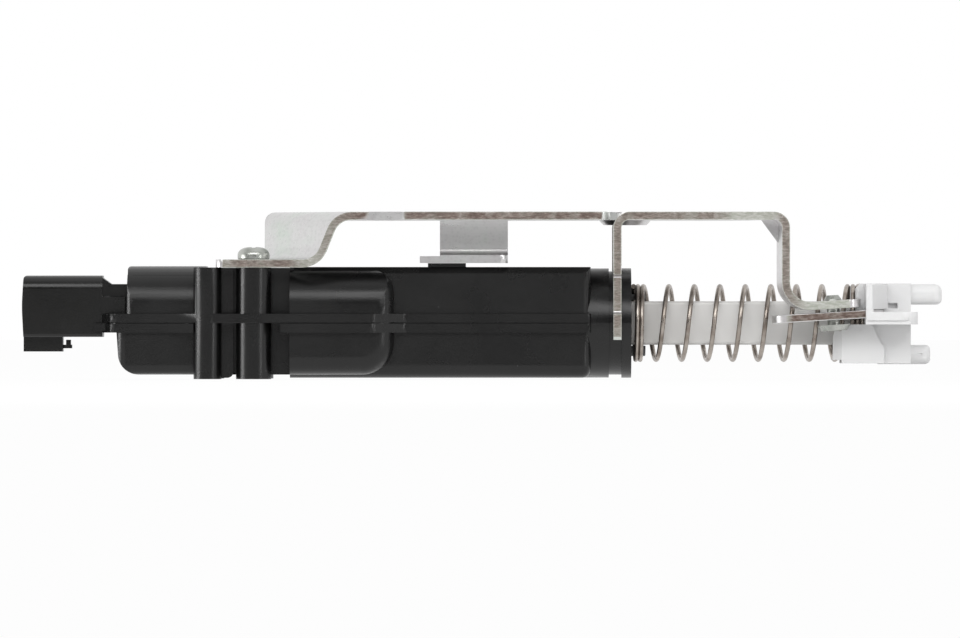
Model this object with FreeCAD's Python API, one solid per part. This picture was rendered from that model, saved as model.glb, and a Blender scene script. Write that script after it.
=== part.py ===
import FreeCAD, Part
import math
import os

V = FreeCAD.Vector

# Door latch actuator, in millimetres. It is drawn about its plunger axis: X runs along the plunger
# towards the fork, Y away from the motor bulge and Z up to the bracket. Every piece is moved at the
# end, so that the origin is the front mounting hole in the bracket's top face.

# Plunger and its bush in the nose
rod_height = 10.9
rod_width = 12.0
rod_edge = 0.8
rod_gap = 0.25
stroke = 11.5
bush_lip_length = 3.6
bush_length = 9.0
bush_wall = 0.95
seal_length = 2.4

# Nose of the housing, ending at X = 0
nose_radius = 13.7
groove_radius = 12.95
groove_start = -5.6
groove_end = -2.4
nose_start = -10.2

# Housing shells
wall = 1.8
body_half_width = 13.9
body_top = 14.0
body_bottom = -13.7
body_left = -85.4
body_low_round = 3.2
body_chamfer = 1.6
chamber_left = -126.6
chamber_left_low = -128.9
chamber_near = -14.6
chamber_far = 16.4
chamber_top = 14.25
chamber_step_top = 13.8
chamber_bottom = -12.9
chamber_round = 4.6
recess_near = -13.1
flange_top = 2.3
flange_low = -2.4
flange_reach = 1.3
flange_left = -132.3
seam_depth = 0.7
seam_height = 0.15
bulge_right = -59.4
bulge_near = -19.6
bulge_top = 13.4
bulge_bottom = -12.9
bulge_corner = 8.8
bulge_low_round = 3.4
bulge_end_round = 4.6
boss_radius = 4.4
boss_y = -16.4
boss_rear_radius = 3.5
boss_rear_x = -105.9
boss_front_x = -94.4
boss_web_right = -99.5
chamber_right = -106.5
chamber_lean = 0.7
chamber_low_lean = 0.9
chamber_low_round = 5.2
chamber_edge_round = 7.0
boss_far_y = 18.6
boss_top = 13.85
boss_bottom = -14.0

# Screws
screw_shank = 1.5
screw_head_radius = 4.0
screw_head_height = 3.1
shell_head_radius = 2.9
shell_head_height = 2.0
shell_seat = 2.4
bracket_screw_length = 11.5
shell_screw_length = 12.0
hole_gap = 0.15

# Connector
socket_left = -152.6
socket_right = -132.4
socket_top = 11.9
socket_bottom = -3.5
socket_half_width = 8.2
socket_wall = 1.4
socket_depth = 15.0
socket_round = 3.4
neck_top = 9.75
neck_bottom = 2.6
neck_half_width = 6.0
neck_block_top = 6.5
neck_block_half_width = 9.0
shoulder_length = 2.2
shoulder_step = 1.6
shoulder_drop = 0.5
mouth_bow = 0.45
lock_right = -142.4
lock_bottom = -7.15
lock_half_width = 4.0
blade_width = 1.8
blade_thick = 0.8
blade_spacing = 5.6
blade_z = 4.2
blade_tail = 5.5
strip_z = 8.6
strip_width = 1.6
strip_near_sides = (-3.2, 0.2)
fit_gap = 0.1

# Motor, lying along X behind the bulge
motor_y = -7.1
motor_radius = 11.9
motor_flat = 10.0
motor_left = -81.5
motor_length = 18.7
can_wall = 1.0
cap_depth = 1.8
shaft_radius = 1.0
magnet_thick = 2.4
magnet_edge = 4.2
air_gap = 0.5
rotor_length = 7.5
rotor_slots = 3
bearing_radius = 3.0
bearing_length = 2.4
running_gap = 0.03

# Worm, drive gear and rack
gear_module = 0.7
worm_starts = 2
worm_radius = 3.1
worm_length = 8.4
gear_teeth = 24
gear_face = 4.0
gear_x = -97.0
pinion_module = 0.75
pinion_teeth = 12
pinion_height = 5.0
pressure_angle = 25.0
rack_height = 4.4
rack_teeth = 9
rack_gap = 0.4
axle_radius = 1.25
flank_gap = 0.12
flank_steps = 2
jog_left = -40.0
bumper_length = 5.0
rod_end = 66.0

# End fork
fork_half_width = 11.6
fork_step = 1.6
fork_wall_right = 63.2
fork_upper_half_width = 10.9
fork_upper_right = 63.9
fork_core_half_width = 9.0
fork_bevel = 1.4
fork_wall_x = 59.5
fork_body_right = 69.9
fork_upper_tip = 77.8
fork_lower_tip = 74.9
fork_top = 9.9
fork_bottom = -10.1
fork_upper_left = 56.0
fork_lobe_left = 58.3
fork_lobe_near = -21.6
shelf_top = 2.75
shelf_low = -0.35
fork_lower_left = 52.6
fork_nose_left = 50.4
fork_prong_half_width = 7.5
upper_prong_low = 4.6
lower_prong_top = -5.5
pin_radius = 1.5
pin_x = 62.8

# Guide plate and its rivet
plate_left = 35.0
plate_width = 9.0
plate_y = -16.0
plate_bottom = 0.75
plate_tilt = 3.4
plate_thick = 2.0
plate_right = 68.0
rivet_x = 50.4
rivet_shank = 1.6
rivet_head_radius = 4.3
rivet_head_height = 1.5
rivet_tail_radius = 2.3
rivet_tail_height = 1.3
plate_gap = 0.25

# Return spring
spring_outer = 9.8
wire_radius = 0.6
spring_pitch = 6.4
spring_closed_pitch = 1.25
spring_left_pitch = 1.1
spring_left_turns = 1.95
spring_phase = 0.75
spring_right_turns = 3.5
spring_end_gap = 0.05
spring_steps = 16
wire_sides = 6

# Bracket, one sheet
sheet = 2.0
bend_inner = 2.0
riser_bend = 4.6
wing_low = 15.2
wing_far = 5.0
top_face = 27.75
foot_left = -103.8
foot_near = -20.5
riser_foot_x = -79.6
riser_top_x = -71.6
riser_end_x = -91.8
riser_corner = 2.6
plate_step_x = -65.4
plate_wide_x = -57.0
plate_near = -24.0
strip_near = -22.0
plate_far = 16.0
plate_right_x = 33.5
yoke_left = -4.6
yoke_end_z = -4.2
yoke_gap = 0.15
ring_half_width = 12.5
leg_x = 37.4
leg_far = -11.2
leg_slant = 1.1
leg_bend = 5.0
foot_z = 3.6
foot_right = 57.4
hole_x = -1.5
hole_y = 0.0
hole_radius = 3.25
dish_radius = 6.6
dish_depth = 1.2
rear_hole_x = -62.0
tab_left = -47.9
tab_right = -30.9
tab_y = -9.0
tab_low = 15.0

# Places that follow from the sizes above
bush_radius = math.hypot(rod_width / 2 + rod_gap, rod_height / 2 + rod_gap) + bush_wall
rib_x = jog_left - bumper_length - sheet
plate_mid = plate_bottom + plate_thick / 2
gear_pitch_radius = gear_module * gear_teeth / 2
gear_y = motor_y + worm_radius + gear_pitch_radius
axle_low = chamber_bottom + wall + 1.0
axle_high = chamber_step_top - wall - 1.0
saddle_x = gear_x - worm_length / 2 - 5.2
rack_low = gear_face / 2 + 0.9
bore_end = nose_start - 2


def box(x0, x1, y0, y1, z0, z1):
    return Part.makeBox(x1 - x0, y1 - y0, z1 - z0, V(x0, y0, z0))


def post(radius, x, y, z0, z1):
    return Part.makeCylinder(radius, z1 - z0, V(x, y, z0))


def bar(radius, x0, x1, y, z):
    return Part.makeCylinder(radius, x1 - x0, V(x0, y, z), V(1, 0, 0))


def fuse(*shapes):
    return shapes[0].multiFuse(list(shapes[1:])).removeSplitter()


def edges_along(shape, axis, keep):
    # Straight edges along one axis whose middle passes the test keep(x, y, z).
    found = []
    for edge in shape.Edges:
        a = edge.Vertexes[0].Point
        b = edge.Vertexes[-1].Point
        along = b - a
        if along.Length < 0.01 or abs(abs(along.dot(axis)) - along.Length) > 1e-4:
            continue
        middle = (a + b) * 0.5
        if keep(middle.x, middle.y, middle.z):
            found.append(edge)
    return found


def outline(points, plane, start, depth, slant=None):
    # A solid from corners (a, b, radius), each corner rounded by a tangent arc. The plane says which
    # two axes the corners lie on, and the outline is drawn out from start by depth along the third,
    # or along the vector slant.
    def at(a, b):
        return {"XY": V(a, b, start), "XZ": V(a, start, b), "YZ": V(start, a, b)}[plane]
    way = slant or {"XY": V(0, 0, depth), "XZ": V(0, depth, 0), "YZ": V(depth, 0, 0)}[plane]
    count = len(points)
    arcs = []
    ends = []
    for i in range(count):
        corner = at(*points[i][:2])
        u = (at(*points[i - 1][:2]) - corner).normalize()
        w = (at(*points[(i + 1) % count][:2]) - corner).normalize()
        radius = points[i][2] if len(points[i]) > 2 else 0
        half = u.getAngle(w) / 2
        run = radius / math.tan(half)
        first = corner + u * run
        last = corner + w * run
        ends.append((first, last))
        if radius > 0:
            centre = corner + (u + w).normalize() * (radius / math.sin(half))
            middle = centre + (corner - centre).normalize() * radius
            arcs.append(Part.Arc(first, middle, last).toShape())
        else:
            arcs.append(None)
    chain = []
    for i in range(count):
        if arcs[i]:
            chain.append(arcs[i])
        a = ends[i][1]
        b = ends[(i + 1) % count][0]
        if (b - a).Length > 1e-6:
            chain.append(Part.LineSegment(a, b).toShape())
    return Part.Face(Part.Wire(chain)).extrude(way)


# Housing

def main_body():
    block = box(body_left, nose_start, -body_half_width, body_half_width, body_bottom, body_top)
    low = edges_along(block, V(1, 0, 0), lambda x, y, z: z < 0)
    block = block.makeFillet(body_low_round, low)
    high = edges_along(block, V(1, 0, 0), lambda x, y, z: z > 0 and abs(y) > body_half_width - 0.01)
    block = block.makeChamfer(body_chamfer, high)
    end = edges_along(block, V(0, 0, 1), lambda x, y, z: x > nose_start - 0.01)
    return block.makeFillet(2.2, end)


def edge_round(x0, x1, y, z, radius, up):
    # What a rounded edge along X takes off: a square corner less a quarter round.
    way = -1 if up else 1
    corner = box(x0, x1, y - 1, y + radius, min(z - way, z + way * radius), max(z - way, z + way * radius))
    return corner.cut(bar(radius, x0 - 1, x1 + 1, y + radius, z + way * radius))


def bulge():
    block = outline([(body_left, bulge_bottom), (bulge_right, bulge_bottom, 8.0),
                     (bulge_right, bulge_top, 6.0), (body_left, bulge_top)], "XZ", bulge_near, -bulge_near)
    # The right end rounds back to the body over the whole height.
    end = [e for e in block.Edges
           if e.CenterOfMass.y < bulge_near + 0.01 and e.CenterOfMass.x > bulge_right - 6]
    block = block.makeFillet(bulge_end_round, end)
    return block.cut(Part.makeCompound([
        edge_round(body_left - 1, bulge_right + 1, bulge_near, bulge_top, bulge_corner, True),
        edge_round(body_left - 1, bulge_right + 1, bulge_near, bulge_bottom, bulge_low_round, False)]))


def chamber():
    # The rear end, its walls drawn in a little towards the top and the bottom.
    right = chamber_right
    upper = outline([(chamber_left, chamber_near, 2.6), (right, chamber_near),
                     (right, chamber_far), (chamber_left, chamber_far, chamber_round)],
                    "XY", 0, chamber_top)
    side = outline([(chamber_left, 0), (right, 0), (right, chamber_top),
                    (chamber_left + chamber_lean, chamber_top, 0.8)], "XZ", -40, 80)
    upper = upper.common(side)
    lower = outline([(chamber_left_low, chamber_near, 2.6), (right, chamber_near),
                     (right, chamber_far), (chamber_left_low, chamber_far, chamber_round)],
                    "XY", chamber_bottom, -chamber_bottom)
    side = outline([(chamber_left_low, 0),
                    (chamber_left_low + chamber_low_lean, chamber_bottom, chamber_low_round),
                    (right, chamber_bottom), (right, 0)], "XZ", -40, 80)
    lower = lower.common(side)
    upper = upper.cut(edge_round(-140, right + 1, chamber_near, chamber_top, chamber_edge_round, True))
    lower = lower.cut(edge_round(-140, right + 1, chamber_near, chamber_bottom, 2.5, False))
    return upper, lower


def gear_bay():
    return box(chamber_right - 1, body_left + 1, recess_near, chamber_far, chamber_bottom, chamber_step_top)


def nose():
    return fuse(bar(nose_radius, nose_start - 3, groove_start, 0, 0),
                bar(groove_radius, groove_start - 0.5, groove_end + 0.5, 0, 0),
                bar(nose_radius + 0.05, groove_end, 0, 0, 0))


def flange(z0, z1, reach):
    # The parting flange swells round the screw bosses and the motor bulge.
    near = chamber_near - reach
    side = body_half_width + reach
    far = chamber_far + reach
    swell = bulge_near - 0.4 - reach
    far_post = boss_far_y + boss_radius - 0.7 + reach
    left = flange_left + flange_reach - reach
    return outline([(left, -8.6, 1.0), (left + 2.2, near, 2.0), (-116.0, near, 3.0),
                    (boss_front_x - 5, swell, 5.0), (bulge_right - 5, swell, 3.0),
                    (bulge_right + 2.6, -side, 2.0), (nose_start, -side, 0.8), (nose_start, side, 0.8),
                    (body_left + 6, side, 1.0), (body_left + 2, far, 1.0),
                    (boss_front_x + 5, far_post, 2.0), (boss_rear_x - 5, far_post, 2.0),
                    (boss_rear_x - 10, far, 2.0),
                    (left + 2.2, far, 4.0), (left, 8.6, 1.0)], "XY", z0, z1 - z0)


def flanges():
    # A narrow seam shows between the two shells' flanges. The lower one leaves off behind the bosses,
    # where the shells meet on their posts.
    inner = flange_reach - seam_depth
    high = flange(seam_height, flange_top, flange_reach)
    low = flange(flange_low, -seam_height, flange_reach)
    middle = flange(-seam_height, seam_height, inner)
    behind = box(boss_rear_x - boss_rear_radius, boss_front_x + 6.7, -40, recess_near, flange_low - 1, 0)
    return [high, low.cut(behind), middle.cut(behind)]


def bosses():
    solid = []
    for x, radius in ((boss_rear_x, boss_rear_radius), (boss_front_x, boss_radius)):
        solid.append(post(radius, x, boss_y, boss_bottom, boss_top))
        solid.append(post(radius, x, boss_far_y, boss_bottom, boss_top - 0.3))
        solid.append(box(x - 2.4, x + 2.4, boss_y, recess_near + 1, chamber_bottom, chamber_step_top - 0.4))
        solid.append(box(x - 2.4, x + 2.4, chamber_far - 1, boss_far_y, chamber_bottom,
                         chamber_step_top - 0.4))
    # A thick web fills the corner on the rear boss's right, a little shorter than the boss.
    solid.append(outline([(boss_rear_x, boss_bottom + 0.3), (boss_web_right, boss_bottom + 0.3, 1.5),
                          (boss_web_right, chamber_step_top - 0.2), (boss_rear_x, chamber_step_top - 0.2)],
                         "XZ", boss_y + 1.2, recess_near + 1 - boss_y - 1.2))
    # A low pad on the roof carries the foot of the bracket's tab.
    solid.append(box(tab_left - 3.0, tab_left + 6.5, tab_y - 3.2, tab_y + 0.6,
                     body_top - 0.5, tab_low - 0.05))
    return solid


def hollows():
    # The space for the motor, the gears and the rack.
    main = box(body_left - 4, bore_end - 4, -body_half_width + wall, body_half_width - wall,
               body_bottom + wall, body_top - wall)
    gears = box(chamber_left + wall, body_left - 3, recess_near + wall, chamber_far - wall,
                chamber_bottom + wall, chamber_step_top - wall)
    motor = box(body_left + wall, bulge_right - wall - 1.2, bulge_near + wall, 0,
                bulge_bottom + wall, bulge_top - wall)
    top = edges_along(motor, V(1, 0, 0), lambda x, y, z: z > 0 and y < -1)
    motor = motor.makeFillet(bulge_corner - wall, top)
    return [main, gears, motor]


def whole_housing():
    parts = [main_body(), bulge(), nose(), gear_bay()] + flanges() + list(chamber())
    body = parts[0].multiFuse(parts[1:] + bosses())
    cuts = hollows()
    # Bush seat, rod way and seal seat in the nose.
    cuts.append(bar(bush_radius + fit_gap, -bush_length, 1, 0, 0))
    cuts.append(bar(bush_radius - 0.6, bore_end - 5, 0, 0, 0))
    # Pilot holes: the bracket's screw from above, the shell screws from below.
    for x, y in shell_screws():
        cuts.append(post(screw_shank, x, y, boss_bottom + 2, boss_top - 2.5))
        cuts.append(post(screw_shank + hole_gap, x, y, boss_bottom - 1, 0))
        cuts.append(post(shell_head_radius + fit_gap, x, y, boss_bottom - 1, boss_bottom + shell_seat))
    cuts.append(post(screw_shank, boss_front_x, boss_y, boss_top - 11, boss_top + 1))
    # Way for the connector's neck.
    cuts.append(box(chamber_left_low - 1, chamber_left + wall + 0.2, -neck_half_width - fit_gap,
                    neck_half_width + fit_gap, neck_bottom - fit_gap, neck_top + fit_gap))
    return body.cut(Part.makeCompound(cuts))


def shell_screws():
    return [(boss_rear_x, boss_y), (boss_rear_x, boss_far_y), (boss_front_x, boss_far_y)]


def gear_towers():
    # Sockets for the gear axle, a saddle for the far end of the motor shaft, and stands that hold
    # the motor's can front and back.
    towers = [post(3.0, gear_x, gear_y, chamber_bottom + wall - 0.5, axle_low + 1.0),
              post(3.0, gear_x, gear_y, axle_high - 1.0, chamber_step_top - wall + 0.5)]
    for x in (motor_left + 1.5, motor_left + motor_length - 5.0):
        towers.append(box(x, x + 2.0, motor_y - 7, motor_y + 7, body_bottom + wall - 0.6, -5))
        towers.append(box(x, x + 2.0, motor_y - 7, motor_y + 7, 5, bulge_top - wall + 0.6))
    towers.append(box(saddle_x, saddle_x + 3, motor_y - 3.6, motor_y + 3.6, chamber_bottom + 1, -0.3))
    towers.append(box(saddle_x, saddle_x + 3, motor_y - 3.6, motor_y + 3.6, 0.3, chamber_step_top - 1))
    rib = box(rib_x, rib_x + 2, -body_half_width + wall - 0.4, 7.0, body_bottom + 1, body_top - 1)
    towers.append(rib.cut(bar(2.05, rib_x - 1, rib_x + 3, 0, 0)))
    return towers


def housing():
    body = whole_housing()
    towers = gear_towers()
    room = [motor_can_solid(fit_gap),
            post(axle_radius + 0.02, gear_x, gear_y, axle_low - 0.2, axle_high + 0.2),
            bar(bearing_radius + fit_gap, saddle_x - 1, saddle_x + 4, motor_y, 0)]
    towers = [t.cut(Part.makeCompound(room)) for t in towers]
    body = body.multiFuse(towers)
    big = 400
    above = box(-big, big, -big, big, 0, big)
    below = box(-big, big, -big, big, -big, 0)
    upper = body.common(above)
    lower = body.common(below)
    # A small snap lip stands out of the lower flange beside the socket.
    lower = lower.fuse(box(flange_left - 2.0, flange_left + 2.4, -11.0, -8.5, -2.0, -0.1))
    return upper.removeSplitter(), lower.removeSplitter()


# Connector

def neck_shoulder():
    # The socket tapers down to its neck over a short run.
    ends = []
    wide = socket_half_width - shoulder_step
    for x, half, high in ((socket_right - 0.1, wide, socket_top - shoulder_drop),
                          (socket_right + shoulder_length, neck_half_width, neck_top)):
        corners = [V(x, -half, neck_bottom), V(x, half, neck_bottom), V(x, half, high), V(x, -half, high)]
        ends.append(Part.makePolygon(corners + corners[:1]))
    return Part.makeLoft(ends, True, True)


def connector():
    shroud = box(socket_left, socket_right, -socket_half_width, socket_half_width,
                 socket_bottom, socket_top)
    high = edges_along(shroud, V(1, 0, 0), lambda x, y, z: z > 5)
    shroud = shroud.makeFillet(socket_round, high)
    low = edges_along(shroud, V(1, 0, 0), lambda x, y, z: z < 0)
    shroud = shroud.makeFillet(0.8, low)
    # The mouth's rim bows out a little, and its upper corner is rounded.
    half_way = (socket_top + socket_bottom) / 2
    bow = outline([(socket_left + mouth_bow, socket_bottom - 1), (socket_left, half_way, 40.0),
                   (socket_left + mouth_bow, socket_top, 1.0), (socket_right + 1, socket_top),
                   (socket_right + 1, socket_bottom - 1)],
                  "XZ", -2 * socket_half_width, 4 * socket_half_width)
    shroud = shroud.common(bow)
    mouth = box(socket_left - 1, socket_left + socket_depth, -socket_half_width + socket_wall,
                socket_half_width - socket_wall, socket_bottom + socket_wall, socket_top - socket_wall)
    inner = edges_along(mouth, V(1, 0, 0), lambda x, y, z: z > 5)
    mouth = mouth.makeFillet(socket_round - socket_wall, inner)
    neck = box(socket_right - 1, chamber_left + wall + 1.6, -neck_half_width, neck_half_width,
               neck_bottom, neck_top)
    stop = box(chamber_left + wall + 0.25, chamber_left + wall + 2.2, -neck_half_width - 1.5,
               neck_half_width + 1.5, neck_bottom - 1.6, neck_top + 1.2)
    block = box(socket_right - 0.5, chamber_left - 0.1, -neck_block_half_width, neck_block_half_width,
                flange_top + fit_gap, neck_block_top)
    shoulder = neck_shoulder()
    lock = box(socket_left + 0.35, lock_right, -lock_half_width, lock_half_width,
               lock_bottom, socket_bottom + 0.3)
    lock = lock.cut(box(socket_left, lock_right - 1.6, -lock_half_width + 1.2, lock_half_width - 1.2,
                        lock_bottom + 1.2, socket_bottom - 0.4))
    nub = box(lock_right - 0.4, lock_right + 2.2, -1.4, 1.4, lock_bottom + 0.8, lock_bottom + 1.7)
    catch = box(lock_right + 0.7, lock_right + 1.9, -1.4, 1.4, lock_bottom + 0.8, socket_bottom - 0.7)
    body = fuse(shroud, neck, stop, block, shoulder, lock, nub, catch).cut(mouth)
    blades = []
    for y in (-blade_spacing / 2, blade_spacing / 2):
        blade = box(socket_left + 3.5, chamber_left + wall + blade_tail, y - blade_width / 2,
                    y + blade_width / 2, blade_z - blade_thick / 2, blade_z + blade_thick / 2)
        tip = edges_along(blade, V(0, 0, 1), lambda x, y2, z: x < socket_left + 4)
        blade = blade.makeChamfer(0.5, tip)
        blades.append(blade)
        body = body.cut(box(socket_left + 3, chamber_left + wall + 6, y - blade_width / 2,
                            y + blade_width / 2, blade_z - blade_thick / 2, blade_z + blade_thick / 2))
    return body, Part.makeCompound(blades)


# Motor

def motor_can_solid(extra):
    can = bar(motor_radius + extra, motor_left - extra, motor_left + motor_length + extra, motor_y, 0)
    return can.common(box(-200, 0, motor_y - motor_flat - extra, motor_y + motor_flat + extra, -30, 30))


def motor():
    right = motor_left + motor_length
    inner = bar(motor_radius - can_wall, motor_left - 1, right - can_wall, motor_y, 0)
    inner = inner.common(box(-200, 0, motor_y - motor_flat + can_wall, motor_y + motor_flat - can_wall,
                             -30, 30))
    nose_cup = bar(bearing_radius + 0.9, right - 0.5, right + bearing_length - 0.4, motor_y, 0)
    seat = bar(bearing_radius, right - can_wall - 0.5, right + bearing_length - 1.0, motor_y, 0)
    can = motor_can_solid(0).fuse(nose_cup).cut(inner).cut(seat)
    cap_left = motor_left - cap_depth
    cap = bar(motor_radius - can_wall - 0.05, cap_left, motor_left + 1.6, motor_y, 0)
    cap = cap.common(box(-200, 0, motor_y - motor_flat + can_wall + 0.05,
                         motor_y + motor_flat - can_wall - 0.05, -30, 30))
    cap = cap.fuse(bar(bearing_radius + 1.2, cap_left - 0.9, cap_left + 1, motor_y, 0))
    cap = cap.cut(bar(bearing_radius, cap_left - 2, motor_left + 3, motor_y, 0))
    magnets = []
    ring_out = motor_radius - can_wall - 0.05
    ring_in = ring_out - magnet_thick
    start = motor_left + 5.4
    ring = bar(ring_out, start - 1.5, start + rotor_length + 1.5, motor_y, 0)
    ring = ring.cut(bar(ring_in, start - 3, start + rotor_length + 3, motor_y, 0))
    for z0, z1 in ((magnet_edge, 20), (-20, -magnet_edge)):
        magnets.append(ring.common(box(-200, 0, motor_y - motor_flat + can_wall + 0.05,
                                       motor_y + motor_flat - can_wall - 0.05, z0, z1)))
    bearings = []
    for x0 in (cap_left - 0.9, right - can_wall + bearing_length - 2.4):
        ring = bar(bearing_radius, x0, x0 + bearing_length, motor_y, 0)
        hole = bar(shaft_radius + running_gap, x0 - 1, x0 + bearing_length + 1, motor_y, 0)
        bearings.append(ring.cut(hole))
    # Rotor: three wound poles on the shaft.
    core_radius = ring_in - air_gap
    core = bar(2.6, start, start + rotor_length, motor_y, 0)
    shoe = bar(core_radius, start, start + rotor_length, motor_y, 0)
    shoe = shoe.cut(bar(core_radius - 1.2, start - 1, start + rotor_length + 1, motor_y, 0))
    windings = []
    arms = []
    for i in range(rotor_slots):
        angle = 360.0 * i / rotor_slots
        arm = box(start, start + rotor_length, motor_y - 1.1, motor_y + 1.1, 1.5, core_radius - 0.5)
        arm.rotate(V(0, motor_y, 0), V(1, 0, 0), angle)
        arms.append(arm)
        gap = box(start - 1, start + rotor_length + 1, motor_y - 0.8, motor_y + 0.8, 3, 20)
        gap.rotate(V(0, motor_y, 0), V(1, 0, 0), angle + 180.0 / rotor_slots)
        shoe = shoe.cut(gap)
        coil = box(start - 1.2, start + rotor_length + 1.2, motor_y - 2.9, motor_y + 2.9,
                   3.4, core_radius - 1.5)
        coil = coil.makeFillet(1.0, edges_along(coil, V(0, 0, 1), lambda x, y, z: True))
        coil = coil.common(bar(core_radius - 1.22, start - 3, start + rotor_length + 3, motor_y, 0))
        coil = coil.cut(box(start - 0.02, start + rotor_length + 0.02, motor_y - 1.13, motor_y + 1.13,
                            0, 20))
        coil.rotate(V(0, motor_y, 0), V(1, 0, 0), angle)
        windings.append(coil)
    core = core.multiFuse([shoe] + arms).removeSplitter()
    core = core.cut(bar(shaft_radius, start - 1, start + rotor_length + 1, motor_y, 0))
    comm = bar(2.2, motor_left + 1.9, start - 1.4, motor_y, 0)
    comm = comm.cut(bar(shaft_radius, motor_left, start, motor_y, 0))
    brushes = []
    for side in (-1, 1):
        lo = 2.25
        brush = box(motor_left + 2.2, motor_left + 3.6, motor_y - 1.2, motor_y + 1.2, lo, lo + 2.6)
        arm = box(motor_left + 1.7, motor_left + 3.6, motor_y - 1.2, motor_y + 1.2, lo + 2.6, lo + 3.2)
        brush = brush.fuse(arm)
        if side < 0:
            brush.rotate(V(0, motor_y, 0), V(1, 0, 0), 180)
        brushes.append(brush)
    shaft = bar(shaft_radius, saddle_x + 0.4, right + bearing_length - 1.6, motor_y, 0)
    return can, cap, Part.makeCompound(magnets), Part.makeCompound(bearings), core, \
        Part.makeCompound(windings), comm, Part.makeCompound(brushes), shaft


# Gears

def involute_tooth(module, teeth, gap, foot):
    # Half of a tooth about the X axis, as (radius, half angle) from the root to the tip.
    pitch = module * teeth / 2
    base = pitch * math.cos(math.radians(pressure_angle))
    tip = pitch + module * 0.95
    root = pitch - module * foot
    at_pitch = math.pi / (2 * teeth) - gap / (2 * pitch)
    angle = math.radians(pressure_angle)
    involute = math.tan(angle) - angle
    points = []
    low = max(base, root)
    for i in range(flank_steps + 1):
        r = low + (tip - low) * i / flank_steps
        a = math.acos(min(1.0, base / r))
        points.append((r, at_pitch + involute - (math.tan(a) - a)))
    if root < base:
        points.insert(0, (root - 0.3, points[0][1]))
    else:
        points.insert(0, (root - 0.3, points[0][1] * 1.05))
    return root, points


def toothed_wheel(module, teeth, gap, x, y, z0, z1, slant):
    # Teeth stand at equal angles; slant is how far a tooth leans round per unit of height.
    root, flank = involute_tooth(module, teeth, gap, 1.2)
    middle = (z0 + z1) / 2
    solid = [post(root, x, y, z0, z1)]
    for i in range(teeth):
        turn = 2 * math.pi * i / teeth + math.pi / 2
        along = V(-math.sin(turn), math.cos(turn), 0)
        lean = along * (slant * (z1 - z0) / 2)
        corners = [V(x + r * math.cos(turn + a), y + r * math.sin(turn + a), z0) - lean for r, a in flank]
        corners += [V(x + r * math.cos(turn - a), y + r * math.sin(turn - a), z0) - lean
                    for r, a in reversed(flank)]
        face = Part.Face(Part.makePolygon(corners + corners[:1]))
        solid.append(face.extrude(V(0, 0, z1 - z0) + lean * 2))
    wheel = solid[0].multiFuse(solid[1:])
    return wheel


def drive_gear():
    slant = worm_starts * gear_module / (2 * worm_radius)
    wheel = toothed_wheel(gear_module, gear_teeth, flank_gap, gear_x, gear_y,
                          -gear_face / 2, gear_face / 2, slant)
    pinion = toothed_wheel(pinion_module, pinion_teeth, flank_gap, gear_x, gear_y,
                           gear_face / 2 + 0.6, gear_face / 2 + 0.6 + pinion_height, 0)
    hub = post(3.3, gear_x, gear_y, axle_low + 1.3, gear_face / 2 + 0.8)
    top_hub = post(2.2, gear_x, gear_y, gear_face / 2, axle_high - 1.3)
    # A shallow dish in the wheel's lower face leaves a rim and a hub.
    dish = post(gear_pitch_radius - 1.9, gear_x, gear_y, -gear_face / 2 - 1, -gear_face / 2 + 0.9)
    dish = dish.cut(post(3.3, gear_x, gear_y, -10, 10))
    body = wheel.cut(dish).multiFuse([pinion, hub, top_hub])
    return body.cut(post(axle_radius + running_gap, gear_x, gear_y, -20, 20))


def worm():
    lead = worm_starts * math.pi * gear_module
    root = worm_radius - gear_module * 1.15
    left = gear_x - worm_length / 2
    # Thread half widths at the root and at the tip, from the pitch line's.
    half = math.pi * gear_module / 4 - flank_gap / 2
    lean = math.tan(math.radians(pressure_angle))
    low = half + (worm_radius - root + 0.15) * lean
    tip = half - gear_module * 0.95 * lean
    body = [bar(root, left, left + worm_length, motor_y, 0)]
    for i in range(worm_starts):
        helix = Part.makeHelix(lead, worm_length + lead, worm_radius)
        profile = Part.makePolygon([V(root - 0.15, 0, -low), V(root - 0.15, 0, low),
                                    V(worm_radius + gear_module * 0.95, 0, tip),
                                    V(worm_radius + gear_module * 0.95, 0, -tip),
                                    V(root - 0.15, 0, -low)])
        thread = Part.Wire(helix.Edges).makePipeShell([profile], True, True)
        thread = Part.Solid(thread) if thread.ShapeType != "Solid" else thread
        thread.rotate(V(0, 0, 0), V(0, 0, 1), 360.0 * i / worm_starts)
        body.append(thread)
    placed = []
    for thread in body[1:]:
        # Up the screw is along X; the thread's gap then faces the wheel at the middle of the worm.
        thread.rotate(V(0, 0, 0), V(0, 1, 0), 90)
        thread.rotate(V(0, 0, 0), V(1, 0, 0), 90)
        thread.translate(V(gear_x - math.pi * gear_module * 2.5, motor_y, 0))
        placed.append(thread)
    whole = body[0].multiFuse(placed)
    whole = whole.common(box(left, left + worm_length, motor_y - 10, motor_y + 10, -10, 10))
    return whole.cut(bar(shaft_radius, left - 1, left + worm_length + 1, motor_y, 0))


def rack_teeth_solid():
    pitch = math.pi * pinion_module
    line = gear_y + pinion_module * pinion_teeth / 2
    lean = math.tan(math.radians(pressure_angle))
    half = pitch / 4 - flank_gap / 2
    tip = half - pinion_module * 0.95 * lean
    low = half + pinion_module * 1.2 * lean
    teeth = []
    for i in range(rack_teeth):
        x = gear_x + pitch * (1.5 - i)
        corners = [V(x - low, line + pinion_module * 1.2 + 0.1, rack_low),
                   V(x - tip, line - pinion_module * 0.95, rack_low),
                   V(x + tip, line - pinion_module * 0.95, rack_low),
                   V(x + low, line + pinion_module * 1.2 + 0.1, rack_low)]
        teeth.append(Part.Face(Part.makePolygon(corners + corners[:1])).extrude(V(0, 0, rack_height)))
    return teeth


# Plunger

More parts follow.
